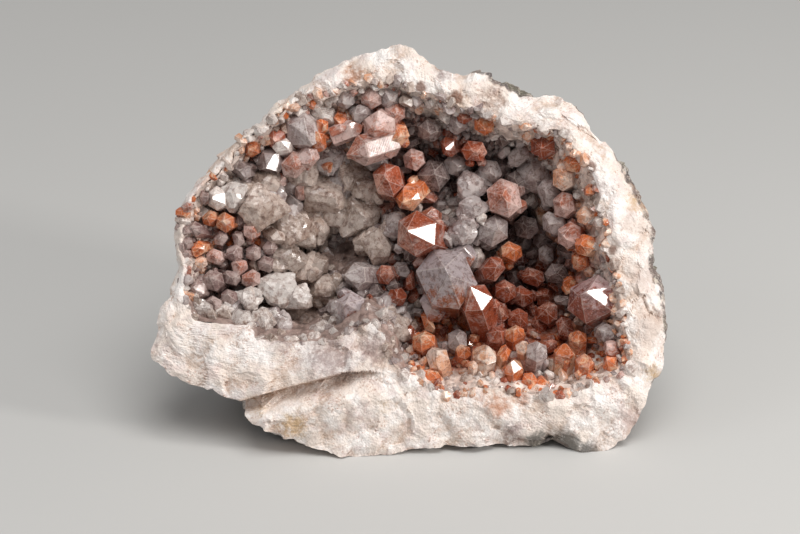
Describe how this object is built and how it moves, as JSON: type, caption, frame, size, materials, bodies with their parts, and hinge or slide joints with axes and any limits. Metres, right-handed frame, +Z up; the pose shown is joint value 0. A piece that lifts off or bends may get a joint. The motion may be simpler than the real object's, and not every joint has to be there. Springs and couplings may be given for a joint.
{
  "type": "hematoid quartz in matrix",
  "caption": "Broken half of a milky quartz geode with a thin dark rind, its hollow lined with hematite-red, grey and smoky quartz crystals, resting on its worn underside.",
  "frame": {"origin": "on the floor, under the middle of the specimen's box", "axes": "+Z up, -Y out of the hollow towards the viewer, +X to the viewer's right along the specimen's length"},
  "size_m": [0.1638, 0.0968, 0.1174],
  "materials": {
    "milky_quartz_rock": "rough, sugary broken quartz, with a dark rind outside",
    "red_and_grey_quartz": "glassy crystal faces, translucent grey to hematite red"
  },
  "bodies": {
    "root": {"matrix": "milky_quartz_rock", "crystal_crust": "red_and_grey_quartz"}
  },
  "joints": []
}
